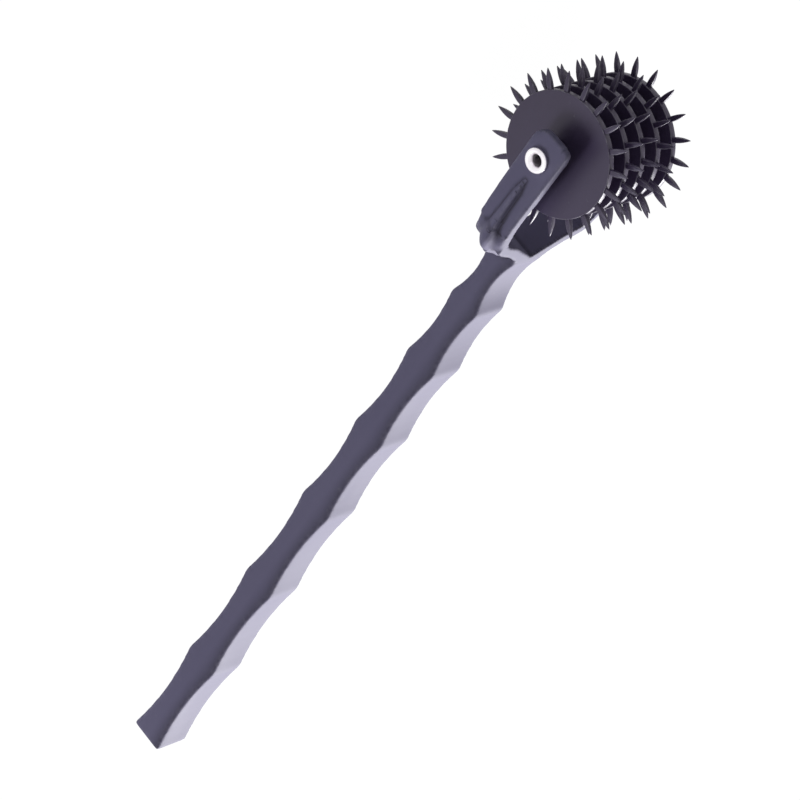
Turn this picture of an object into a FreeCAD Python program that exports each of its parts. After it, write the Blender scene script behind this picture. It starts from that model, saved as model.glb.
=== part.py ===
import FreeCAD
import Part

import math
import os

# Neurological pinwheel: five rows of spikes roll between the arms of a forked handle.
# Millimetres. The origin is the centre of the wheel, on its axle. +X runs along the handle to its
# free end, +Y along the axle, and +Z up from the surface that the wheel rolls on.

# Star discs
TIP_RADIUS = 15.7             # from the axle to a spike's point
RIM_RADIUS = 11.8             # of the plate that carries the spikes
DISC_THICKNESS = 1.3
SPIKE_COUNT = 20              # spikes in one row
SPIKE_WIDTH = 1.65            # at the widest place, where a spike is as thick as the plate
SPIKE_SWELL = 0.8             # from the rim to the widest place
SPIKE_ROOT_DEPTH = 0.5        # how far the root runs into the plate
SPIKE_ROOT_SHARE = 0.7        # girth of the root, as a share of the widest
SPIKE_WAY_SHARE = 0.5         # of the way from the widest place to the point, where it bows out
SPIKE_BOW_SHARE = 0.7         # girth there
SPIKE_POINT_SHARE = 0.08      # girth of the blunt point
ROW_PHASES_DEG = (12.7, 14.6, 14.6, 6.6, 7.7)   # first spike of each row, from +X towards +Z

# Axle and what is strung on it
BORE_RADIUS = 1.0             # of the hollow rivet
SHANK_RADIUS = 1.65
RUNNING_CLEARANCE = 0.08      # round the shank, in discs and spacers
HOLE_CLEARANCE = 0.05         # round the shank, in the arms
SPACER_RADIUS = 2.9
SPACER_LENGTH = 3.08
SIDE_PLAY = 0.08              # on each side of each disc

# Rivet heads
HEAD_RADIUS = 2.4
HEAD_HEIGHT = 0.95
HEAD_LIP = 0.2                # how far the rolled edge tucks in under its widest place
HEAD_STEPS = 3                # flats round the rolled edge
FLARE_DEPTH = 1.5             # of the funnel at each mouth of the bore
FLARE_WIDTH = 0.85

# Fork
FORK_WALL = 2.4
FORK_HEIGHT = 7.9             # of the arms, also of the grip's ridges
TIP_RISE = 0.45               # of the upper edge, towards the ends of the arms
TIP_REACH = 5.6               # from the axle to the ends of the arms
TIP_LOWER_RADIUS = 3.0
TIP_UPPER_RADIUS = 1.3
DRAW_REACH = 13.0             # from the axle to where the arms start to draw in
DRAW_DEPTH = 0.7              # how far they have drawn in at the shoulders
DRAW_RADIUS = 20.0
SHOULDER_CLEARANCE = 4.7      # from the spikes' points to the inside of the shoulders
SHOULDER_RADIUS = 4.0         # inside
BRACE_RUN = 1.9               # along the handle, from the inside of a shoulder to the bend of the base
BRACE_SPREAD_SHARE = 0.54     # of half the fork's inner width, at that bend
BRACE_RADIUS = 9.0
CROTCH_RUN = 6.1              # from the inside of the shoulders to the crotch
CROTCH_RADIUS = 1.0
NECK_FILLET = 1.5
EASE_RUN = 4.0                # along the end of each arm, where its inside is eased back
EASE_DEPTH = 0.7              # at the very end

# Spine on the outside of each arm, from under the axle round the shoulder to the neck
SPINE_REACH = 4.9             # from the axle to its pointed start
SPINE_WIDTH = 4.5
SPINE_HEIGHT = 2.6
SPINE_SEAT = 0.6              # how far it is rooted in the wall
SPINE_RISE = 0.25             # of its middle over the middle of the arm
SPINE_LOW_CREST_SHARE = 0.1   # crest's lower edge over the middle, as a share of half the width
SPINE_TOP_CREST_SHARE = 0.6   # crest's upper edge, so that the upper flank is the steep one
SPINE_STATION_SHARES = (0.0, 0.1, 0.3, 0.42, 0.46, 0.5, 0.54, 0.58, 0.7, 1.0)   # of its length
SPINE_GROWTH_SHARES = (0.1, 0.36, 0.46, 0.6, 0.9, 1.0, 0.85, 0.7, 0.6, 0.6)   # of its full size

# Grip
HANDLE_REACH = 174.5          # from the axle to the free end
GRIP_THICKNESS = 8.74
WAIST_HEIGHT = 5.74           # between two ridges
NECK_HEIGHT = 7.2             # where the scallops start
NECK_WAIST_HEIGHT = 4.7       # between the base of the fork and the first ridge
FIRST_RIDGE_HEIGHT = 7.4
NECK_REACH = 27.9             # from the axle to where the scallops start
SCALLOP_SHARES = (0.0975, 0.1165, 0.140, 0.147, 0.163, 0.167, 0.169)

OVERRUN = 1.0                 # of a cutter past the face that it cuts
SAME_PLACE_SHARE = 0.001      # two places that differ by a smaller share are the same

Y_AXIS = FreeCAD.Vector(0, 1, 0)
Z_AXIS = FreeCAD.Vector(0, 0, 1)
CENTRE = FreeCAD.Vector(0, 0, 0)


def row_pitch():
    """Distance from one row of spikes to the next."""
    return DISC_THICKNESS + SPACER_LENGTH + 2 * SIDE_PLAY


def row_places():
    """Middle of each row along the axle."""
    rows = len(ROW_PHASES_DEG)
    return [(row - (rows - 1) / 2) * row_pitch() for row in range(rows)]


def arm_inside():
    """From the middle of the fork to the inside of an arm: the stack of discs and spacers."""
    return row_places()[-1] + DISC_THICKNESS / 2 + SIDE_PLAY + SPACER_LENGTH


def arm_outside():
    """From the middle of the fork to the outside of an arm."""
    return arm_inside() + FORK_WALL


def rounded_edges(corners, place):
    """Lines and tangent arcs through (u, v, radius) corners; place turns u, v into a point."""
    points = [place(u, v) for u, v, _ in corners]
    edges = []
    start = points[0]
    for index in range(1, len(corners) - 1):
        here = points[index]
        to_last = (points[index - 1] - here).normalize()
        to_next = (points[index + 1] - here).normalize()
        half_angle = to_last.getAngle(to_next) / 2
        radius = corners[index][2]
        run = radius / math.tan(half_angle)
        middle_way = (to_last + to_next).normalize()
        depth = radius / math.sin(half_angle) - radius
        arc_start = here + to_last * run
        arc_end = here + to_next * run
        edges.append(Part.makeLine(start, arc_start))
        edges.append(Part.Arc(arc_start, here + middle_way * depth, arc_end).toShape())
        start = arc_end
    edges.append(Part.makeLine(start, points[-1]))
    return edges


def flat_face(corners):
    """The flat face between these corners."""
    return Part.Face(Part.makePolygon(corners + corners[:1]))


def on_plan(x, y):
    """A point of the plan, the view along the height."""
    return FreeCAD.Vector(x, y, 0)


def on_side(x, z):
    """A point of the side view, the view along the axle."""
    return FreeCAD.Vector(x, 0, z)


def fork_inside_corners():
    """Corners of the inside of the fork in plan, from the crotch to the end of the +Y arm."""
    shoulder_x = TIP_RADIUS + SHOULDER_CLEARANCE
    shoulder_y = arm_inside() - DRAW_DEPTH
    return [
        (shoulder_x + CROTCH_RUN, 0, CROTCH_RADIUS),
        (shoulder_x + BRACE_RUN, arm_inside() * BRACE_SPREAD_SHARE, BRACE_RADIUS),
        (shoulder_x, shoulder_y, SHOULDER_RADIUS),
        (DRAW_REACH, arm_inside(), DRAW_RADIUS),
        (-TIP_REACH - OVERRUN, arm_inside(), 0),
    ]


def fork_cavity_face():
    """Plan of the space inside the fork."""
    half = fork_inside_corners()
    other_half = [(x, -y, radius) for x, y, radius in reversed(half[1:])]
    edges = rounded_edges(other_half + half, on_plan)
    first_point = edges[0].Vertexes[0].Point
    last_point = edges[-1].Vertexes[-1].Point
    edges.append(Part.makeLine(last_point, first_point))
    return Part.Face(Part.Wire(edges))


def scallop_ridges():
    """Places of the ridges along the handle, from the neck to the free end."""
    ridges = [NECK_REACH]
    for share in SCALLOP_SHARES:
        ridges.append(ridges[-1] + share * (HANDLE_REACH - NECK_REACH) / sum(SCALLOP_SHARES))
    return ridges


def scallop_edges(side):
    """The scalloped edge of the grip on the upper (1) or lower (-1) side, from the neck outwards."""
    ridges = scallop_ridges()
    heights = [NECK_HEIGHT, FIRST_RIDGE_HEIGHT]
    waist_height = NECK_WAIST_HEIGHT
    edges = []
    for start, end in zip(ridges, ridges[1:]):
        first = on_side(start, side * heights[0] / 2)
        waist = on_side((start + end) / 2, side * waist_height / 2)
        last = on_side(end, side * heights[1] / 2)
        edges.append(Part.Arc(first, waist, last).toShape())
        heights = [heights[1], FORK_HEIGHT]
        waist_height = WAIST_HEIGHT
    return edges


def side_face():
    """Side view of the whole moulding: rounded arm ends, straight fork and scalloped grip."""
    top_z = FORK_HEIGHT / 2
    neck_z = NECK_HEIGHT / 2
    arm_end = [
        (NECK_REACH, -neck_z, 0),
        (-TIP_REACH, -top_z, TIP_LOWER_RADIUS),
        (-TIP_REACH, top_z + TIP_RISE, TIP_UPPER_RADIUS),
        (NECK_REACH, neck_z, 0),
    ]
    free_end = Part.makeLine(on_side(HANDLE_REACH, top_z), on_side(HANDLE_REACH, -top_z))
    edges = rounded_edges(arm_end, on_side) + scallop_edges(1) + [free_end] + scallop_edges(-1)
    return Part.Face(Part.Wire(Part.__sortEdges__(edges)))


def neck_edges(plan):
    """The two upright edges where the base of the fork meets the flat sides of the grip."""
    found = []
    for edge in plan.Edges:
        start, end = edge.Vertexes[0].Point, edge.Vertexes[-1].Point
        upright = abs(end.z - start.z) > FORK_HEIGHT / 2
        on_grip = math.isclose(abs(start.y), GRIP_THICKNESS / 2, rel_tol=SAME_PLACE_SHARE)
        if upright and on_grip and start.x < HANDLE_REACH / 2:
            found.append(edge)
    return found


def spine_stations():
    """Point and outward way at each station of the +Y arm's spine, with its growth up to there."""
    edges = rounded_edges(fork_inside_corners(), on_plan)
    edges.reverse()
    path = []
    for edge in edges:
        ends = sorted([edge.Vertexes[0].Point, edge.Vertexes[-1].Point], key=lambda point: point.x)
        path.append((edge, ends))
    lengths = [edge.Length for edge, _ in path]
    lead = SPINE_REACH + TIP_REACH + OVERRUN
    full = sum(lengths) - lead - CROTCH_RADIUS
    stations = []
    for share, growth in zip(SPINE_STATION_SHARES, SPINE_GROWTH_SHARES):
        along = lead + share * full
        index = 0
        while index < len(lengths) - 1 and along > lengths[index]:
            along -= lengths[index]
            index += 1
        edge = path[index][0]
        flipped = edge.valueAt(edge.FirstParameter).x > edge.valueAt(edge.LastParameter).x
        length = edge.Length - along if flipped else along
        parameter = edge.getParameterByLength(length)
        way = edge.tangentAt(parameter)
        outward = way.cross(Z_AXIS).normalize()
        if outward.y < 0:
            outward = outward * -1
        stations.append((edge.valueAt(parameter) + outward * FORK_WALL, outward, growth))
    return stations


def arm_spine():
    """Spine of the +Y arm: it grows out of the arm's outside and runs round the shoulder."""
    sections = []
    for point, outward, growth in spine_stations():
        foot = Z_AXIS * (SPINE_WIDTH * growth / 2)
        low_crest = foot * SPINE_LOW_CREST_SHARE
        top_crest = foot * SPINE_TOP_CREST_SHARE
        middle = point + Z_AXIS * SPINE_RISE
        root = outward * -SPINE_SEAT
        top = outward * (SPINE_HEIGHT * growth)
        outline = [root - foot, CENTRE - foot, top + low_crest, top + top_crest, foot, root + foot]
        section = [middle + offset for offset in outline]
        sections.append(Part.makePolygon(section + section[:1]))
    return Part.makeLoft(sections, True, True)


def tip_ease(deep):
    """Wedge of this height that eases the end of the +Y arm back on its inside."""
    start_x = EASE_RUN - TIP_REACH
    end_x = -TIP_REACH - OVERRUN
    clear_y = arm_inside() - OVERRUN
    eased_y = arm_inside() + EASE_DEPTH
    plan = flat_face([
        on_plan(start_x, arm_inside()),
        on_plan(-TIP_REACH, eased_y),
        on_plan(end_x, eased_y),
        on_plan(end_x, clear_y),
        on_plan(start_x, clear_y),
    ])
    return plan.extrude(Z_AXIS * deep)


def moulding_blank():
    """Fork and grip before the holes: the plan and the side view, each run through the other."""
    cavity = fork_cavity_face()
    outside = cavity.makeOffset2D(FORK_WALL)
    deep = FORK_HEIGHT + 2 * OVERRUN
    grip_start = TIP_RADIUS + SHOULDER_CLEARANCE + CROTCH_RUN
    grip = Part.makeBox(
        HANDLE_REACH + OVERRUN - grip_start,
        GRIP_THICKNESS,
        deep,
        FreeCAD.Vector(grip_start, -GRIP_THICKNESS / 2, 0),
    )
    plan = outside.extrude(Z_AXIS * deep).fuse(grip).removeSplitter()
    plan = plan.makeFillet(NECK_FILLET, neck_edges(plan))
    ease = tip_ease(deep)
    plan = plan.cut([cavity.extrude(Z_AXIS * deep), ease, ease.mirror(CENTRE, Y_AXIS)])
    plan.translate(Z_AXIS * (-deep / 2))
    wide = 2 * (arm_outside() + OVERRUN)
    side = side_face().extrude(Y_AXIS * wide)
    side.translate(Y_AXIS * (-wide / 2))
    return plan.common(side)


def handle_fork():
    """One moulding: two arms with a spine each, their base and the scalloped grip."""
    spine = arm_spine()
    blank = moulding_blank().fuse([spine, spine.mirror(CENTRE, Y_AXIS)])
    wide = 2 * (arm_outside() + OVERRUN)
    hole = Part.makeCylinder(
        SHANK_RADIUS + HOLE_CLEARANCE, wide, FreeCAD.Vector(0, -wide / 2, 0), Y_AXIS
    )
    return blank.cut(hole).removeSplitter()


def axle_rivet():
    """Hollow rivet: a tube through both arms, rolled over into a head at each end."""
    seat_y = arm_outside()
    top_y = seat_y + HEAD_HEIGHT
    crest_r = BORE_RADIUS + FLARE_WIDTH
    roll_r = HEAD_RADIUS - crest_r
    roll_y = HEAD_HEIGHT / 2
    outline = [on_plan(BORE_RADIUS, 0), on_plan(BORE_RADIUS, top_y - FLARE_DEPTH)]
    for step in range(HEAD_STEPS + 1):
        turn = math.pi / 2 * step / HEAD_STEPS
        radius = crest_r + roll_r * math.sin(turn)
        outline.append(on_plan(radius, top_y - roll_y + roll_y * math.cos(turn)))
    outline.append(on_plan(HEAD_RADIUS - HEAD_LIP, seat_y))
    outline.append(on_plan(SHANK_RADIUS, seat_y))
    outline.append(on_plan(SHANK_RADIUS, 0))
    half = flat_face(outline).revolve(CENTRE, Y_AXIS, 360)
    return half.fuse(half.mirror(CENTRE, Y_AXIS)).removeSplitter()


def ring(radius, length, start_y):
    """A flat ring that runs on the shank, from start_y along the axle."""
    start = FreeCAD.Vector(0, start_y, 0)
    before = FreeCAD.Vector(0, start_y - OVERRUN, 0)
    body = Part.makeCylinder(radius, length, start, Y_AXIS)
    bore_radius = SHANK_RADIUS + RUNNING_CLEARANCE
    return body.cut(Part.makeCylinder(bore_radius, length + 2 * OVERRUN, before, Y_AXIS))


def spacer(index):
    """Spacer ring number index: the outer ones bear on the arms, the others stand between discs."""
    start_y = -arm_inside() + index * row_pitch()
    return ring(SPACER_RADIUS, SPACER_LENGTH, start_y)


def spike():
    """One spike along +X: four-sided, widest a little over the rim, bowed out to a blunt point."""
    widest = RIM_RADIUS + SPIKE_SWELL
    sections = []
    for reach, share in (
        (RIM_RADIUS - SPIKE_ROOT_DEPTH, SPIKE_ROOT_SHARE),
        (widest, 1),
        (widest + (TIP_RADIUS - widest) * SPIKE_WAY_SHARE, SPIKE_BOW_SHARE),
        (TIP_RADIUS, SPIKE_POINT_SHARE),
    ):
        half_width = SPIKE_WIDTH / 2 * share
        half_thickness = DISC_THICKNESS / 2 * share
        sections.append([
            FreeCAD.Vector(reach, 0, half_width),
            FreeCAD.Vector(reach, half_thickness, 0),
            FreeCAD.Vector(reach, 0, -half_width),
            FreeCAD.Vector(reach, -half_thickness, 0),
        ])
    faces = [flat_face(sections[0]), flat_face(sections[-1])]
    for inner, outer in zip(sections, sections[1:]):
        for side in range(len(inner)):
            faces.append(flat_face([inner[side - 1], inner[side], outer[side], outer[side - 1]]))
    return Part.Solid(Part.Shell(faces))


def star_disc(place_y, phase_deg):
    """One row: a thin plate with a ring of spikes, its first spike at the given angle."""
    plate = ring(RIM_RADIUS, DISC_THICKNESS, -DISC_THICKNESS / 2)
    first = spike()
    spikes = []
    for index in range(SPIKE_COUNT):
        copy = first.copy()
        copy.rotate(CENTRE, Y_AXIS, -(phase_deg + index * 360 / SPIKE_COUNT))
        spikes.append(copy)
    disc = plate.fuse(spikes)
    disc.translate(Y_AXIS * place_y)
    return disc


def all_parts():
    """Every sub-part by name."""
    parts = {"handle_fork": handle_fork(), "axle_rivet": axle_rivet()}
    for index, (place_y, phase_deg) in enumerate(zip(row_places(), ROW_PHASES_DEG)):
        parts["star_disc_%d" % (index + 1)] = star_disc(place_y, phase_deg)
    for index in range(len(ROW_PHASES_DEG) + 1):
        parts["spacer_%d" % (index + 1)] = spacer(index)
    return parts


os.makedirs("parts", exist_ok=True)
for node, shape in all_parts().items():
    shape.exportStep("parts/%s.step" % node)
    print(node, "valid" if shape.isValid() else "NOT VALID", len(shape.Solids), "solid",
          "%.2f mm3" % shape.Volume)
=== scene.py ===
"""Neurological pinwheel: five rows of spikes roll between the arms of a forked plastic handle.

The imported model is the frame. This script dresses it: each sub-assembly is a class that builds
its meshes and gives them their finish. Lengths are metres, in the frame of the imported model:
+X runs along the handle to its free end, +Y along the axle and +Z up.
"""

import logging
import math
from dataclasses import dataclass
from enum import Enum

import bmesh
import bpy
from mathutils import Matrix, Vector


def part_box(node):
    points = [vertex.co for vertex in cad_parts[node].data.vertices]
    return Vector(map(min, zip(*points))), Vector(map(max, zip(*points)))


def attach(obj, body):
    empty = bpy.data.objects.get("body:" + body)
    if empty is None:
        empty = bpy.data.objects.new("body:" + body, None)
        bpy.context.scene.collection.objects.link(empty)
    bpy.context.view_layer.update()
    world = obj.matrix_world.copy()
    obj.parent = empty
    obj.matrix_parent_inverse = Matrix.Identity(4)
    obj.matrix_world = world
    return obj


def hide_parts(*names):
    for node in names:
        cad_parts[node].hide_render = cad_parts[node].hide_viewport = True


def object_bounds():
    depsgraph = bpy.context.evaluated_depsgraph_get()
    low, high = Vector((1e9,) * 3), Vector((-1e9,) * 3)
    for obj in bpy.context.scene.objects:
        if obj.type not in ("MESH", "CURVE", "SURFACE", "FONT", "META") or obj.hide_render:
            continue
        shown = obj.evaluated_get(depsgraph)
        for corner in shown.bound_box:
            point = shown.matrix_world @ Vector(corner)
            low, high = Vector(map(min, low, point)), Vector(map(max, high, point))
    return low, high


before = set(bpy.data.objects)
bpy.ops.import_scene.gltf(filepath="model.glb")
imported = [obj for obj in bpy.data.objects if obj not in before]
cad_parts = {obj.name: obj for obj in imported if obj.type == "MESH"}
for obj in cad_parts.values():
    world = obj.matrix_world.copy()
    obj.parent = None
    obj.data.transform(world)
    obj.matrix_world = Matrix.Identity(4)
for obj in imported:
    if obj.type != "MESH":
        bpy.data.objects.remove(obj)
CAD_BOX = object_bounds()

LOG = logging.getLogger("pinwheel")

MM = 0.001
WELD = 0.001 * MM
ORIGIN = Vector((0.0, 0.0, 0.0))
AXLE = Vector((0.0, 1.0, 0.0))
ROUND_PROFILE = 0.5  # of a bevel, for a round that is part of a circle
NORMAL_WEIGHT = 60  # above 50, large faces count for more in the shading of an edge
# edges, painted for rubbed wear that also carries a painted highlight
EDGE_MASK = "edge_mask"
# painted shade: darkens creases and the upper edge of the grip's sides
PAINTED_SHADE_MASK = "painted_shade_mask"
ROW_PHASES_DEG = (12.7, 14.6, 14.6, 6.6, 7.7)  # first spike of each row, from +X towards +Z

Triple = tuple[float, float, float]
Span = tuple[float, float]


class Slot(Enum):
    """The material slots of the record."""

    HANDLE = "handle_plastic"
    WHEEL = "wheel_plastic"
    SPACER = "spacer_plastic"
    RIVET = "rivet_steel"


class Graph:
    """A node tree with short calls to add and join its nodes."""

    def __init__(self, tree: bpy.types.NodeTree) -> None:
        """Keeps the tree.

        Args:
            tree: The node tree of a material, a world or a group.
        """
        self.tree = tree

    def add(self, kind: str, **settings: object) -> bpy.types.Node:
        """Adds a node.

        Args:
            kind: The node's type name.
            **settings: Properties of the node, set after it is made.

        Returns:
            The new node.
        """
        node = self.tree.nodes.new(kind)
        for name, value in settings.items():
            setattr(node, name, value)
        return node

    def join(self, source: bpy.types.NodeSocket, target: bpy.types.NodeSocket) -> None:
        """Links an output to an input.

        Args:
            source: The output.
            target: The input.
        """
        self.tree.links.new(source, target)

    def give(self, target: bpy.types.NodeSocket, value: object) -> None:
        """Gives an input its value.

        Args:
            target: The input.
            value: An output to link, a colour or a number.
        """
        if isinstance(value, bpy.types.NodeSocket):
            self.join(value, target)
        elif isinstance(value, tuple):
            target.default_value = (*value, 1.0)
        else:
            target.default_value = value

    def math(self, operation: str, *values: object, clamp: bool = False) -> bpy.types.NodeSocket:
        """Adds a Math node.

        Args:
            operation: The operation's name.
            *values: Outputs or numbers for the inputs.
            clamp: Whether the result is kept between 0 and 1.

        Returns:
            The node's output.
        """
        node = self.add("ShaderNodeMath", operation=operation, use_clamp=clamp)
        for target, value in zip(node.inputs, values):
            self.give(target, value)
        return node.outputs[0]

    def object_place(self) -> bpy.types.NodeSocket:
        """Adds the object's own coordinates.

        Returns:
            The coordinates.
        """
        return self.add("ShaderNodeTexCoord").outputs["Object"]

    def painted(self, mask: str) -> bpy.types.NodeSocket:
        """Reads a mask that is painted on the mesh.

        Args:
            mask: The attribute's name.

        Returns:
            The mask, 0 where the mesh has none.
        """
        return self.add("ShaderNodeAttribute", attribute_name=mask).outputs["Fac"]

    def stretched(self, place: bpy.types.NodeSocket, scale: Triple) -> bpy.types.NodeSocket:
        """Scales coordinates, which stretches the pattern that they carry.

        Args:
            place: The coordinates.
            scale: Their scale along X, Y and Z.

        Returns:
            The scaled coordinates.
        """
        node = self.add("ShaderNodeMapping")
        node.inputs["Scale"].default_value = scale
        self.join(place, node.inputs["Vector"])
        return node.outputs["Vector"]

    def noise(self, place: bpy.types.NodeSocket, scale: object, detail: float) -> bpy.types.NodeSocket:
        """Adds a Noise Texture on the given coordinates.

        Args:
            place: The coordinates.
            scale: A number or an output, in waves per metre.
            detail: The number of octaves.

        Returns:
            The value output, about 0.5 on average.
        """
        node = self.add("ShaderNodeTexNoise")
        self.join(place, node.inputs["Vector"])
        self.give(node.inputs["Scale"], scale)
        node.inputs["Detail"].default_value = detail
        return node.outputs["Fac"]

    def ramp(self, value: bpy.types.NodeSocket, span: Span) -> bpy.types.NodeSocket:
        """Stretches a span of a value to the span from 0 to 1.

        Args:
            value: The value to stretch.
            span: What becomes 0 and what becomes 1.

        Returns:
            The stretched value, kept between 0 and 1.
        """
        node = self.add("ShaderNodeMapRange", clamp=True)
        self.join(value, node.inputs["Value"])
        node.inputs["From Min"].default_value, node.inputs["From Max"].default_value = span
        return node.outputs["Result"]

    def blend(self, share: object, first: object, second: object) -> bpy.types.NodeSocket:
        """Mixes two colours.

        Args:
            share: The share of the second colour, an output or a number.
            first: A colour or an output.
            second: A colour or an output.

        Returns:
            The mixed colour.
        """
        node = self.add("ShaderNodeMix", data_type="RGBA")
        targets = [socket for socket in node.inputs if socket.enabled]
        for target, value in zip(targets, (share, first, second)):
            self.give(target, value)
        return next(socket for socket in node.outputs if socket.enabled)

    def bump(self, height: bpy.types.NodeSocket, depth: float, shader: bpy.types.Node) -> None:
        """Presses a relief into the surface of a shader.

        Args:
            height: The relief, from 0 to 1.
            depth: Its depth.
            shader: The shader.
        """
        node = self.add("ShaderNodeBump")
        node.inputs["Distance"].default_value = depth
        self.join(height, node.inputs["Height"])
        self.join(node.outputs["Normal"], shader.inputs["Normal"])

    def place_group(self, tree: bpy.types.NodeTree, **values: object) -> bpy.types.Node:
        """Places a node group and sets its inputs.

        Args:
            tree: The group.
            **values: Outputs or numbers by input, with an underscore for each blank.

        Returns:
            The group's node.
        """
        node = self.add("ShaderNodeGroup", node_tree=tree)
        for name, value in values.items():
            self.give(node.inputs[name.replace("_", " ")], value)
        return node


def new_group(
    name: str, inputs: tuple[str, ...], outputs: tuple[str, ...]
) -> tuple[Graph, bpy.types.Node, bpy.types.Node]:
    """Makes a shader node group whose inputs and outputs are numbers.

    Args:
        name: The group's name.
        inputs: The names of its inputs.
        outputs: The names of its outputs.

    Returns:
        The group's node tree, the node that holds its inputs and the one for its outputs.
    """
    tree = bpy.data.node_groups.new(name, "ShaderNodeTree")
    for label in inputs:
        tree.interface.new_socket(label, in_out="INPUT", socket_type="NodeSocketFloat")
    for label in outputs:
        tree.interface.new_socket(label, in_out="OUTPUT", socket_type="NodeSocketFloat")
    graph = Graph(tree)
    return graph, graph.add("NodeGroupInput"), graph.add("NodeGroupOutput")


@dataclass(frozen=True)
class MouldedGrain:
    """The spark-eroded grain of moulded plastic, and the clouds that its flow leaves."""

    fine_share: float = 0.6
    fine_detail: float = 3.0
    coarse_scale_share: float = 0.22
    coarse_detail: float = 2.0
    cloud_stretch: Triple = (0.35, 1.0, 1.0)
    cloud_detail: float = 4.0
    cloud_span: Span = (0.3, 0.7)

    def group(self) -> bpy.types.NodeTree:
        """Makes the node group.

        Returns:
            A group with the outputs Height, for a bump, and Cloud, for the colour.
        """
        graph, given, result = new_group("moulded_grain", ("Grain", "Cloud Scale"), ("Height", "Cloud"))
        place = graph.object_place()
        fine = graph.noise(place, given.outputs["Grain"], self.fine_detail)
        coarse_scale = graph.math("MULTIPLY", given.outputs["Grain"], self.coarse_scale_share)
        coarse = graph.noise(place, coarse_scale, self.coarse_detail)
        height = graph.math(
            "ADD",
            graph.math("MULTIPLY", fine, self.fine_share),
            graph.math("MULTIPLY", coarse, 1.0 - self.fine_share),
        )
        along = graph.stretched(place, self.cloud_stretch)
        cloud = graph.noise(along, given.outputs["Cloud Scale"], self.cloud_detail)
        graph.join(height, result.inputs["Height"])
        graph.join(graph.ramp(cloud, self.cloud_span), result.inputs["Cloud"])
        return graph.tree


@dataclass(frozen=True)
class EdgeWearAndHighlight:
    """Rubbed edges that also carry a painted highlight: the painted edge mask, broken up into patches.
    """

    patch_scale: float = 700.0
    patch_detail: float = 4.0
    patch_span: Span = (0.38, 0.66)

    def group(self) -> bpy.types.NodeTree:
        """Makes the node group.

        Returns:
            A group with the output Mask, from 0 to 1.
        """
        graph, given, result = new_group("edge_wear_and_highlight", ("Edge", "Amount"), ("Mask",))
        noise = graph.noise(graph.object_place(), self.patch_scale, self.patch_detail)
        worn_and_lit = graph.math("MULTIPLY", given.outputs["Edge"], graph.ramp(noise, self.patch_span))
        mask = graph.math("MULTIPLY", worn_and_lit, given.outputs["Amount"], clamp=True)
        graph.join(mask, result.inputs["Mask"])
        return graph.tree


@dataclass(frozen=True)
class DustSpecks:
    """Fine pale specks of dust that gather in drifts."""

    speck_scale: float = 900.0
    speck_span: Span = (0.68, 0.78)
    drift_scale: float = 90.0
    drift_span: Span = (0.4, 0.7)
    detail: float = 2.0

    def group(self) -> bpy.types.NodeTree:
        """Makes the node group.

        Returns:
            A group with the output Mask, from 0 to 1.
        """
        graph, given, result = new_group("dust_specks", ("Amount",), ("Mask",))
        place = graph.object_place()
        specks = graph.ramp(graph.noise(place, self.speck_scale, self.detail), self.speck_span)
        drifts = graph.ramp(graph.noise(place, self.drift_scale, self.detail), self.drift_span)
        dusty = graph.math("MULTIPLY", specks, drifts)
        mask = graph.math("MULTIPLY", dusty, given.outputs["Amount"], clamp=True)
        graph.join(mask, result.inputs["Mask"])
        return graph.tree


@dataclass(frozen=True)
class SharedEffects:
    """The node groups that more than one finish uses."""

    grain: bpy.types.NodeTree
    wear_and_highlight: bpy.types.NodeTree
    dust: bpy.types.NodeTree


def new_material(name: str) -> tuple[bpy.types.Material, Graph, bpy.types.Node]:
    """Makes a material with one Principled BSDF.

    Args:
        name: The material's name.

    Returns:
        The material, its node tree and its shader.
    """
    material = bpy.data.materials.new(name)
    material.use_nodes = True
    graph = Graph(material.node_tree)
    return material, graph, material.node_tree.nodes["Principled BSDF"]


@dataclass(frozen=True)
class MouldedPlastic:
    """Satin moulded plastic with a fine grain, cloudy colour, rubbed edges that also carry a painted
    highlight, and painted shade in creases.
    """

    name: str
    color: Triple
    cloud_color: Triple
    # lighter edge colour: partly rubbed wear, partly a painted highlight
    worn_highlight_color: Triple
    roughness: float
    wear_and_highlight: float
    gloss: float = 0.12
    rough_spread: float = 0.08
    grain: float = 5200.0
    grain_depth: float = 0.012 * MM
    cloud_scale: float = 90.0
    dust: float = 0.2
    dust_color: Triple = (0.45, 0.44, 0.46)
    # painted shade: how strongly creases and the grip's upper side edges are darkened, and their colour
    painted_shade: float = 0.6
    painted_shade_color: Triple = (0.05, 0.045, 0.06)

    def material(self, effects: SharedEffects) -> bpy.types.Material:
        """Builds the finish.

        Args:
            effects: The shared node groups.

        Returns:
            The material.
        """
        material, graph, shader = new_material(self.name)
        shader.inputs["Specular IOR Level"].default_value = self.gloss
        grain = graph.place_group(effects.grain, Grain=self.grain, Cloud_Scale=self.cloud_scale)
        edge = graph.painted(EDGE_MASK)
        wear_and_highlight = graph.place_group(effects.wear_and_highlight, Edge=edge, Amount=self.wear_and_highlight).outputs["Mask"]
        dust = graph.place_group(effects.dust, Amount=self.dust).outputs["Mask"]
        # painted shade in creases and along the grip's upper side edges
        painted_shade = graph.math("MULTIPLY", graph.painted(PAINTED_SHADE_MASK), self.painted_shade)
        body = graph.blend(grain.outputs["Cloud"], self.color, self.cloud_color)
        shaded_body = graph.blend(painted_shade, body, self.painted_shade_color)
        # lighter rubbed edges: partly wear, partly a painted highlight
        worn_and_highlighted = graph.blend(wear_and_highlight, shaded_body, self.worn_highlight_color)
        graph.join(graph.blend(dust, worn_and_highlighted, self.dust_color), shader.inputs["Base Color"])
        spread = graph.math("MULTIPLY", grain.outputs["Cloud"], self.rough_spread)
        rough = graph.math("ADD", spread, self.roughness)
        polished = graph.math("MULTIPLY", wear_and_highlight, self.rough_spread)
        graph.join(graph.math("SUBTRACT", rough, polished), shader.inputs["Roughness"])
        graph.bump(grain.outputs["Height"], self.grain_depth, shader)
        return material


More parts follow.
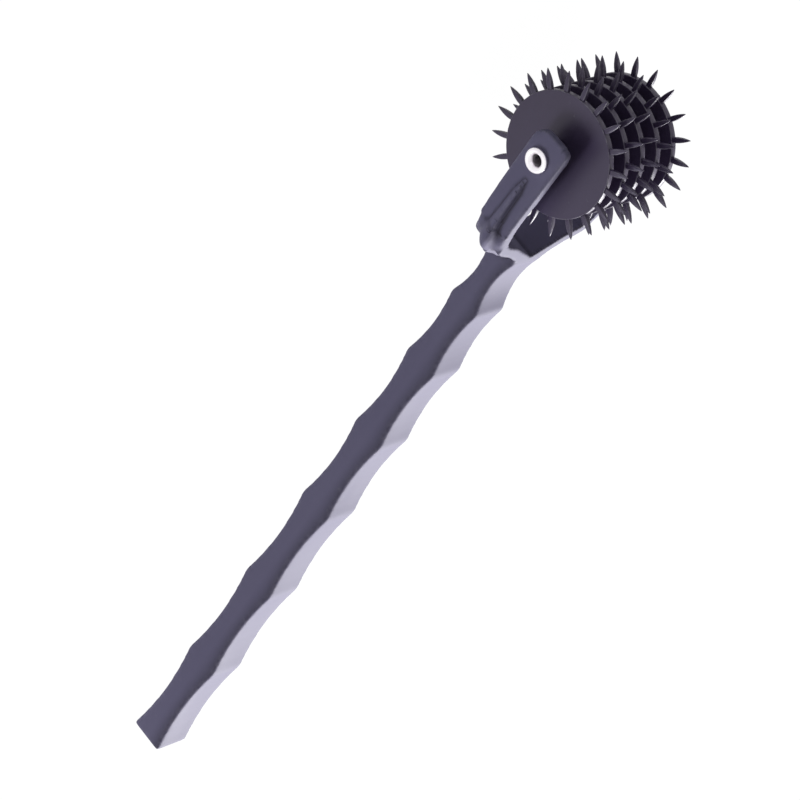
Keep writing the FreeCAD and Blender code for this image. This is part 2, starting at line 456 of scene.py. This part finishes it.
@dataclass(frozen=True)
class PlatedSteel:
    """Bright plated sheet steel with fine drawing marks and a little tarnish."""

    name: str = "bright_plated_steel"
    color: Triple = (0.93, 0.9, 0.93)
    tarnish: Triple = (0.78, 0.74, 0.77)
    roughness: float = 0.3
    rough_spread: float = 0.1
    mark_scale: float = 2600.0
    mark_stretch: Triple = (1.0, 0.12, 1.0)
    mark_detail: float = 2.0
    mark_depth: float = 0.001 * MM
    stain_scale: float = 520.0
    stain_detail: float = 4.0
    stain_span: Span = (0.5, 0.8)

    def material(self) -> bpy.types.Material:
        """Builds the finish.

        Returns:
            The material.
        """
        material, graph, shader = new_material(self.name)
        shader.inputs["Metallic"].default_value = 1.0
        place = graph.object_place()
        along = graph.stretched(place, self.mark_stretch)
        marks = graph.noise(along, self.mark_scale, self.mark_detail)
        stain = graph.ramp(graph.noise(place, self.stain_scale, self.stain_detail), self.stain_span)
        graph.join(graph.blend(stain, self.color, self.tarnish), shader.inputs["Base Color"])
        rough = graph.math("ADD", graph.math("MULTIPLY", stain, self.rough_spread), self.roughness)
        graph.join(rough, shader.inputs["Roughness"])
        graph.bump(marks, self.mark_depth, shader)
        return material


def turned(profile: list[Span], steps: int) -> bmesh.types.BMesh:
    """Turns a closed profile round the axle.

    Args:
        profile: Corners as (distance from the axle, place along the axle).
        steps: The number of steps in a full turn.

    Returns:
        The turned mesh, with a face layer for the paint of its edges.
    """
    mesh = bmesh.new()
    mesh.faces.layers.float.new(EDGE_MASK)
    verts = [mesh.verts.new((radius, place, 0.0)) for radius, place in profile]
    edges = [mesh.edges.new(pair) for pair in zip(verts, verts[1:] + verts[:1])]
    bmesh.ops.spin(
        mesh,
        geom=verts + edges,
        cent=ORIGIN,
        axis=AXLE,
        angle=math.tau,
        steps=steps,
        use_merge=True,
    )
    bmesh.ops.remove_doubles(mesh, verts=mesh.verts, dist=WELD)
    bmesh.ops.recalc_face_normals(mesh, faces=mesh.faces)
    return mesh


def round_edges(mesh: bmesh.types.BMesh, edges: list[bmesh.types.BMEdge], **settings: object) -> None:
    """Rounds edges and paints the new faces, for the rubbed edges with their painted highlight.

    Args:
        mesh: The mesh, changed in place, with a face layer for the paint.
        edges: The edges to round.
        **settings: Offset, how it is measured, and the number of faces across the round.
    """
    layer = mesh.faces.layers.float[EDGE_MASK]
    rounded = bmesh.ops.bevel(
        mesh,
        geom=edges,
        profile=ROUND_PROFILE,
        affect="EDGES",
        clamp_overlap=True,
        material=-1,
        **settings,
    )
    for face in rounded["faces"]:
        face[layer] = 1.0


def round_rings(mesh: bmesh.types.BMesh, angle: float, width: float, segments: int) -> None:
    """Rounds the outward edges of a turned mesh.

    Args:
        mesh: The mesh, changed in place.
        angle: Edges that turn by more than this, in radians, are rounded.
        width: How far the round reaches from the edge.
        segments: The number of faces across the round.
    """
    sharp = [edge for edge in mesh.edges if edge.calc_face_angle_signed(0.0) > angle]
    round_edges(mesh, sharp, offset=width, offset_type="OFFSET", segments=segments)


def finished_piece(mesh: bmesh.types.BMesh, name: str, material: bpy.types.Material) -> bpy.types.Object:
    """Makes an object of a finished mesh, smooth shaded with weighted normals.

    Args:
        mesh: The mesh, freed here.
        name: The piece's name.
        material: Its finish.

    Returns:
        The piece.
    """
    data = bpy.data.meshes.new(name)
    for face in mesh.faces:
        face.smooth = True
    mesh.to_mesh(data)
    mesh.free()
    piece = bpy.data.objects.new(name, data)
    bpy.context.scene.collection.objects.link(piece)
    data.materials.append(material)
    normals = piece.modifiers.new("weighted_normals", "WEIGHTED_NORMAL")
    normals.weight = NORMAL_WEIGHT
    return piece


def dress(piece: bpy.types.Object, node: str, body: str) -> None:
    """Puts a piece in the place of its node.

    Args:
        piece: The piece.
        node: The node that it stands for.
        body: The body that it moves with.
    """
    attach(piece, body)
    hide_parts(node)
    LOG.info("%s: %d faces on %s", piece.name, len(piece.data.polygons), body)


@dataclass
class ForkHandle:
    """The moulding of fork and grip, with the soft edges and hollow sides of a real moulding."""

    material: bpy.types.Material
    node: str = "handle_fork"
    voxel: float = 0.27 * MM
    shoulder_start: float = 17.0 * MM
    neck_start: float = 27.0 * MM
    soft_share: float = 0.5
    soft_passes: int = 2
    grip_passes: int = 26
    arm_passes: int = 12
    arm_edge_start: float = 2.6 * MM
    outside_share: float = 1.0 / 3.0
    corner_passes: int = 16
    corner_start: float = 2.2 * MM
    spine_passes: int = 60
    spine_end: float = 17.5 * MM
    spine_share: float = 0.75
    side_hollow: float = 0.12 * MM
    least_facing: float = 0.5
    arm_margin: float = 4.0 * MM
    edge_angle: float = 0.35
    # painted shade on the grip's sides: slice length and how fast it grows towards the upper edge
    shade_step: float = 0.54 * MM
    shade_power: float = 1.7

    def remeshed(self) -> bmesh.types.BMesh:
        """Lays an even net over the moulding, so that its edges can be softened alike.

        Returns:
            The net.
        """
        source = bmesh.new()
        source.from_mesh(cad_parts[self.node].data)
        bmesh.ops.remove_doubles(source, verts=source.verts, dist=WELD)
        data = bpy.data.meshes.new("handle_net")
        source.to_mesh(data)
        source.free()
        blank = bpy.data.objects.new("handle_net", data)
        bpy.context.scene.collection.objects.link(blank)
        remesh = blank.modifiers.new("net", "REMESH")
        remesh.mode = "VOXEL"
        remesh.voxel_size = self.voxel
        depsgraph = bpy.context.evaluated_depsgraph_get()
        mesh = bmesh.new()
        mesh.from_object(blank, depsgraph)
        bpy.data.objects.remove(blank)
        return mesh

    def smooth(self, mesh: bmesh.types.BMesh, verts: list[bmesh.types.BMVert], passes: int) -> None:
        """Draws corners towards their neighbours, again and again.

        Args:
            mesh: The net, changed in place.
            verts: The corners that move.
            passes: How often they move.
        """
        for _ in range(passes):
            bmesh.ops.smooth_vert(
                mesh,
                verts=verts,
                factor=self.soft_share,
                use_axis_x=True,
                use_axis_y=True,
                use_axis_z=True,
            )

    def soften(self, mesh: bmesh.types.BMesh) -> None:
        """Rounds every edge a little, and the shoulders and the ends of the spine more.

        Args:
            mesh: The net, changed in place.
        """
        half_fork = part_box(self.node)[1].y
        arms = [vert for vert in mesh.verts if vert.co.x < self.shoulder_start]
        arm_edges = [vert for vert in arms if abs(vert.co.z) > self.arm_edge_start]
        shoulder = [vert for vert in mesh.verts if self.shoulder_start < vert.co.x < self.neck_start]
        outside = [vert for vert in shoulder if abs(vert.co.y) > half_fork * self.outside_share]
        corners = [vert for vert in outside if vert.co.z < -self.corner_start]
        rear = [vert for vert in outside if vert.co.x > self.spine_end]
        spine_ends = [vert for vert in rear if abs(vert.co.y) > half_fork * self.spine_share]
        grip = [vert for vert in mesh.verts if vert.co.x > self.neck_start]
        self.smooth(mesh, list(mesh.verts), self.soft_passes)
        self.smooth(mesh, grip, self.grip_passes)
        self.smooth(mesh, arm_edges, self.arm_passes)
        self.smooth(mesh, corners, self.corner_passes)
        self.smooth(mesh, spine_ends, self.spine_passes)

    def hollow(self, mesh: bmesh.types.BMesh) -> None:
        """Draws the flat sides of grip and arms in a little, as they shrink in the mould.

        Args:
            mesh: The net, changed in place.
        """
        mesh.normal_update()
        half_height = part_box(self.node)[1].z
        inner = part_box("axle_rivet")[1].y - self.arm_margin
        for vert in mesh.verts:
            outward = math.copysign(1.0, vert.co.y)
            facing = vert.normal.y * outward
            inside_fork = vert.co.x <= self.neck_start and abs(vert.co.y) < inner
            if facing < self.least_facing or inside_fork:
                continue
            share = max(0.0, 1.0 - (vert.co.z / half_height) ** 2)
            vert.co.y -= outward * self.side_hollow * share * facing

    def paint_edges(self, mesh: bmesh.types.BMesh) -> None:
        """Paints where the surface turns outwards, for rubbed edges with a painted highlight, and
        inwards, for painted shade in the creases.

        Args:
            mesh: The net, painted in place.
        """
        edge_layer = mesh.verts.layers.float.new(EDGE_MASK)
        shade_layer = mesh.verts.layers.float.new(PAINTED_SHADE_MASK)
        for vert in mesh.verts:
            turns = [edge.calc_face_angle_signed(0.0) for edge in vert.link_edges]
            vert[edge_layer] = min(1.0, max(0.0, max(turns) / self.edge_angle))
            # painted shade where the surface turns inwards
            vert[shade_layer] = min(1.0, max(0.0, -min(turns) / self.edge_angle))

    def paint_side_shade(self, mesh: bmesh.types.BMesh) -> None:
        """Paints shade onto the sides of the grip, darker towards their upper edge.

        Args:
            mesh: The net, painted in place.
        """
        layer = mesh.verts.layers.float[PAINTED_SHADE_MASK]
        slices: dict[int, list[bmesh.types.BMVert]] = {}
        for vert in mesh.verts:
            if vert.co.x > self.neck_start:
                slices.setdefault(round(vert.co.x / self.shade_step), []).append(vert)
        for verts in slices.values():
            top = max(vert.co.z for vert in verts)
            for vert in verts:
                share = max(0.0, vert.co.z / top)
                facing = max(0.0, 2.0 * abs(vert.normal.y) - 1.0)
                # painted shade, strongest at the upper edge of each side
                vert[layer] = max(vert[layer], facing * share ** self.shade_power)

    def build(self) -> bpy.types.Object:
        """Builds and dresses the moulding.

        Returns:
            The piece.
        """
        mesh = self.remeshed()
        self.soften(mesh)
        self.hollow(mesh)
        self.paint_edges(mesh)
        # painted shade along the upper edge of the grip's sides
        self.paint_side_shade(mesh)
        piece = finished_piece(mesh, "handle_moulding", self.material)
        dress(piece, self.node, "root")
        return piece


@dataclass
class StarRow:
    """One row: a thin plate with a ring of four-sided spikes that bow out to a blunt point."""

    number: int
    phase_deg: float
    material: bpy.types.Material
    bore: float = 1.73 * MM
    rim: float = 11.8 * MM
    spike_count: int = 20
    spike_half_width: float = 0.53 * MM
    spike_half_depth: float = 0.45 * MM
    # Distance from the axle, and girth there as a share of the widest.
    stations: tuple[Span, ...] = (
        (11.3 * MM, 0.8), (11.9 * MM, 0.95), (12.6 * MM, 1.0), (13.4 * MM, 0.92),
        (14.2 * MM, 0.72), (15.0 * MM, 0.42), (15.6 * MM, 0.1),
    )
    spike_round_percent: float = 16.0
    spike_round_segments: int = 2
    rim_round: float = 0.15 * MM
    rim_round_segments: int = 3
    sharp_angle: float = 0.6
    steps: int = 160

    def spike(self) -> bmesh.types.BMesh:
        """Draws one spike out along +X, from root to point.

        Returns:
            The spike, with a face layer for the paint of its edges.
        """
        mesh = bmesh.new()
        mesh.faces.layers.float.new(EDGE_MASK)
        root, root_share = self.stations[0]
        half_size = (1.0, self.spike_half_depth * root_share, self.spike_half_width * root_share)
        upright = Matrix.Rotation(math.pi / 2, 3, "Y")
        bmesh.ops.create_grid(mesh, x_segments=1, y_segments=1, size=1.0)
        bmesh.ops.rotate(mesh, verts=mesh.verts, cent=ORIGIN, matrix=upright)
        bmesh.ops.scale(mesh, verts=mesh.verts, vec=half_size)
        bmesh.ops.translate(mesh, verts=mesh.verts, vec=(root, 0.0, 0.0))
        mesh.faces.ensure_lookup_table()
        cap = mesh.faces[0]
        for (reach, share), (next_reach, next_share) in zip(self.stations, self.stations[1:]):
            grown = bmesh.ops.extrude_face_region(mesh, geom=[cap])["geom"]
            if reach > root:
                bmesh.ops.delete(mesh, geom=[cap], context="FACES_ONLY")
            verts = [item for item in grown if isinstance(item, bmesh.types.BMVert)]
            cap = next(item for item in grown if isinstance(item, bmesh.types.BMFace))
            ratio = next_share / share
            bmesh.ops.scale(mesh, verts=verts, vec=(1.0, ratio, ratio))
            bmesh.ops.translate(mesh, verts=verts, vec=(next_reach - reach, 0.0, 0.0))
        bmesh.ops.recalc_face_normals(mesh, faces=mesh.faces)
        lengthwise = [
            edge for edge in mesh.edges if abs(edge.verts[0].co.x - edge.verts[1].co.x) > WELD
        ]
        # rounded spike edges, painted for rubbed wear with a painted highlight
        round_edges(
            mesh,
            lengthwise,
            offset=self.spike_round_percent,
            offset_type="PERCENT",
            segments=self.spike_round_segments,
        )
        return mesh

    def build(self) -> bpy.types.Object:
        """Builds and dresses the disc.

        Returns:
            The piece.
        """
        node = f"star_disc_{self.number}"
        low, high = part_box(node)
        profile = [(self.bore, low.y), (self.rim, low.y), (self.rim, high.y), (self.bore, high.y)]
        mesh = turned(profile, self.steps)
        round_rings(mesh, self.sharp_angle, self.rim_round, self.rim_round_segments)
        spike = self.spike()
        middle = (low.y + high.y) / 2
        bmesh.ops.translate(spike, verts=spike.verts, vec=(0.0, middle, 0.0))
        data = bpy.data.meshes.new("one_spike")
        spike.to_mesh(data)
        spike.free()
        data.transform(Matrix.Rotation(-math.radians(self.phase_deg), 4, "Y"))
        step = Matrix.Rotation(-math.tau / self.spike_count, 4, "Y")
        for _ in range(self.spike_count):
            mesh.from_mesh(data)
            data.transform(step)
        bpy.data.meshes.remove(data)
        piece = finished_piece(mesh, f"row_{self.number}_disc", self.material)
        dress(piece, node, f"row_{self.number}")
        return piece


@dataclass
class SpacerRing:
    """A plain ring on the axle that keeps two rows, or a row and an arm, apart."""

    number: int
    material: bpy.types.Material
    bore: float = 1.73 * MM
    edge_round: float = 0.15 * MM
    round_segments: int = 3
    sharp_angle: float = 0.6
    steps: int = 72

    def build(self) -> bpy.types.Object:
        """Builds and dresses the ring.

        Returns:
            The piece.
        """
        node = f"spacer_{self.number}"
        low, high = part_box(node)
        profile = [(self.bore, low.y), (high.x, low.y), (high.x, high.y), (self.bore, high.y)]
        mesh = turned(profile, self.steps)
        round_rings(mesh, self.sharp_angle, self.edge_round, self.round_segments)
        piece = finished_piece(mesh, f"spacer_ring_{self.number}", self.material)
        dress(piece, node, "root")
        return piece


@dataclass
class HollowRivet:
    """The hollow rivet that is the axle, rolled over at both arms."""

    material: bpy.types.Material
    bore: float = 1.0 * MM
    shank: float = 1.65 * MM
    head_height: float = 0.95 * MM
    roll_share: float = 0.45
    roll_segments: int = 6
    flare_width: float = 0.85 * MM
    flare_depth: float = 1.5 * MM
    flare_steps: int = 8
    sharp_angle: float = 0.35
    steps: int = 120

    def build(self) -> bpy.types.Object:
        """Builds and dresses the rivet.

        Returns:
            The piece.
        """
        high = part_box("axle_rivet")[1]
        seat = high.y - self.head_height
        crest = self.bore + self.flare_width
        half = [(self.shank, seat), (high.x, seat), (high.x, high.y), (crest, high.y)]
        for step in range(1, self.flare_steps + 1):
            turn = math.pi / 2 * step / self.flare_steps
            depth = self.flare_depth * (1.0 - math.cos(turn))
            half.append((crest - self.flare_width * math.sin(turn), high.y - depth))
        other_half = [(radius, -place) for radius, place in reversed(half)]
        mesh = turned(half + other_half, self.steps)
        round_rings(mesh, self.sharp_angle, self.head_height * self.roll_share, self.roll_segments)
        piece = finished_piece(mesh, "axle_eyelet", self.material)
        dress(piece, "axle_rivet", "root")
        return piece


@dataclass(frozen=True)
class Lamp:
    """A soft square lamp: where it hangs, the length of its side, its watts and its colour."""

    name: str
    place: Triple
    size: float
    power: float
    tint: Triple

    def hang(self, aim: Triple) -> None:
        """Hangs the lamp in the scene.

        Args:
            aim: The point that it faces.
        """
        data = bpy.data.lights.new(self.name, "AREA")
        data.size = self.size
        data.energy = self.power
        data.color = self.tint
        lamp = bpy.data.objects.new(self.name, data)
        lamp.location = self.place
        way = Vector(aim) - Vector(self.place)
        lamp.rotation_euler = way.to_track_quat("-Z", "Y").to_euler()
        bpy.context.scene.collection.objects.link(lamp)


@dataclass
class Studio:
    """A white backdrop, two soft lamps and the camera."""

    floor_size: float = 6.0
    floor_color: Triple = (0.3, 0.3, 0.34)
    floor_roughness: float = 0.9
    floor_glow: float = 0.93
    glow_strength: float = 1.07
    sky: float = 0.13
    lamp_aim: Triple = (0.06, 0.0, 0.0)
    lamps: tuple[Lamp, ...] = (
        Lamp("key", (1.5, 1.45, 1.6), 1.3, 115.0, (1.0, 1.0, 1.0)),
        Lamp("front", (0.75, -1.15, 0.03), 0.55, 5.6, (0.95, 0.94, 1.1)),
    )
    camera_place: Triple = (-0.49457, -0.69230, 0.29556)
    camera_aim: Triple = (0.07178, 0.0, -0.00055)
    camera_roll_deg: float = 140.751
    lens: float = 225.0
    sensor: float = 36.0
    near_clip: float = 0.01

    def backdrop_rays(self, graph: Graph) -> bpy.types.NodeSocket:
        """Marks the rays that see the backdrop: from the camera, off gloss and through glass.

        Args:
            graph: The tree that it is worked out in.

        Returns:
            1 for such rays, else 0.
        """
        path = graph.add("ShaderNodeLightPath")
        seen = graph.math("MAXIMUM", path.outputs["Is Camera Ray"], path.outputs["Is Glossy Ray"])
        return graph.math("MAXIMUM", seen, path.outputs["Is Transmission Ray"])

    def floor(self) -> None:
        """Lays the floor under the lowest point of the object, white where it is seen."""
        mesh = bmesh.new()
        bmesh.ops.create_grid(mesh, x_segments=1, y_segments=1, size=self.floor_size / 2)
        bmesh.ops.translate(mesh, verts=mesh.verts, vec=(0.0, 0.0, CAD_BOX[0][2]))
        data = bpy.data.meshes.new("studio_floor")
        mesh.to_mesh(data)
        mesh.free()
        piece = bpy.data.objects.new("studio_floor", data)
        bpy.context.scene.collection.objects.link(piece)
        material, graph, shader = new_material("pale_floor")
        shader.inputs["Base Color"].default_value = (*self.floor_color, 1.0)
        shader.inputs["Roughness"].default_value = self.floor_roughness
        glow = graph.add("ShaderNodeEmission")
        glow.inputs["Strength"].default_value = self.glow_strength
        mix = graph.add("ShaderNodeMixShader")
        graph.join(graph.math("MULTIPLY", self.backdrop_rays(graph), self.floor_glow), mix.inputs[0])
        graph.join(shader.outputs[0], mix.inputs[1])
        graph.join(glow.outputs[0], mix.inputs[2])
        graph.join(mix.outputs[0], material.node_tree.nodes["Material Output"].inputs["Surface"])
        data.materials.append(material)

    def world(self) -> None:
        """Gives the sky a plain dim light, white where it is seen."""
        world = bpy.data.worlds.new("studio")
        world.use_nodes = True
        bpy.context.scene.world = world
        graph = Graph(world.node_tree)
        background = world.node_tree.nodes["Background"]
        background.inputs["Color"].default_value = (1.0, 1.0, 1.0, 1.0)
        strength = graph.add("ShaderNodeMapRange")
        graph.join(self.backdrop_rays(graph), strength.inputs["Value"])
        strength.inputs["To Min"].default_value = self.sky
        strength.inputs["To Max"].default_value = 1.0
        graph.join(strength.outputs["Result"], background.inputs["Strength"])

    def camera(self) -> None:
        """Puts the camera where the photograph was taken from, turned as it was held."""
        data = bpy.data.cameras.new("camera")
        data.lens = self.lens
        data.sensor_width = self.sensor
        data.clip_start = self.near_clip
        camera = bpy.data.objects.new("camera", data)
        place = Vector(self.camera_place)
        way = (Vector(self.camera_aim) - place).to_track_quat("-Z", "Y").to_matrix()
        roll = Matrix.Rotation(math.radians(self.camera_roll_deg), 3, "Z")
        camera.matrix_world = Matrix.Translation(place) @ (way @ roll).to_4x4()
        bpy.context.scene.collection.objects.link(camera)
        bpy.context.scene.camera = camera

    def build(self) -> None:
        """Sets up floor, sky, lamps and camera."""
        self.floor()
        self.world()
        for lamp in self.lamps:
            lamp.hang(self.lamp_aim)
        self.camera()
        bpy.context.scene.view_settings.view_transform = "Standard"


def main() -> None:
    """Builds and dresses every piece of the pinwheel, then the studio."""
    logging.basicConfig(level=logging.INFO, format="%(name)s: %(message)s")
    effects = SharedEffects(MouldedGrain().group(), EdgeWearAndHighlight().group(), DustSpecks().group())
    handle_finish = MouldedPlastic(
        name="satin_grey_plastic",
        color=(0.22, 0.206, 0.305),
        cloud_color=(0.24, 0.226, 0.325),
        # lighter edges: partly rubbed wear, partly a painted highlight
        worn_highlight_color=(0.38, 0.365, 0.44),
        roughness=0.54,
        wear_and_highlight=0.35,
        # painted shade in creases and along the grip's upper side edges
        painted_shade=0.85,
    )
    wheel_finish = MouldedPlastic(
        name="dark_wheel_plastic",
        color=(0.062, 0.043, 0.094),
        cloud_color=(0.088, 0.066, 0.128),
        # lighter edges: partly rubbed wear, partly painted highlight lines on the spikes
        worn_highlight_color=(0.28, 0.26, 0.32),
        roughness=0.36,
        wear_and_highlight=0.8,
        gloss=0.5,
    )
    ForkHandle(handle_finish.material(effects)).build()
    HollowRivet(PlatedSteel().material()).build()
    wheel_material = wheel_finish.material(effects)
    for number, phase_deg in enumerate(ROW_PHASES_DEG, start=1):
        StarRow(number, phase_deg, wheel_material).build()
    for number in range(1, len(ROW_PHASES_DEG) + 2):
        SpacerRing(number, wheel_material).build()
    Studio().build()


if __name__ == "__main__":
    main()
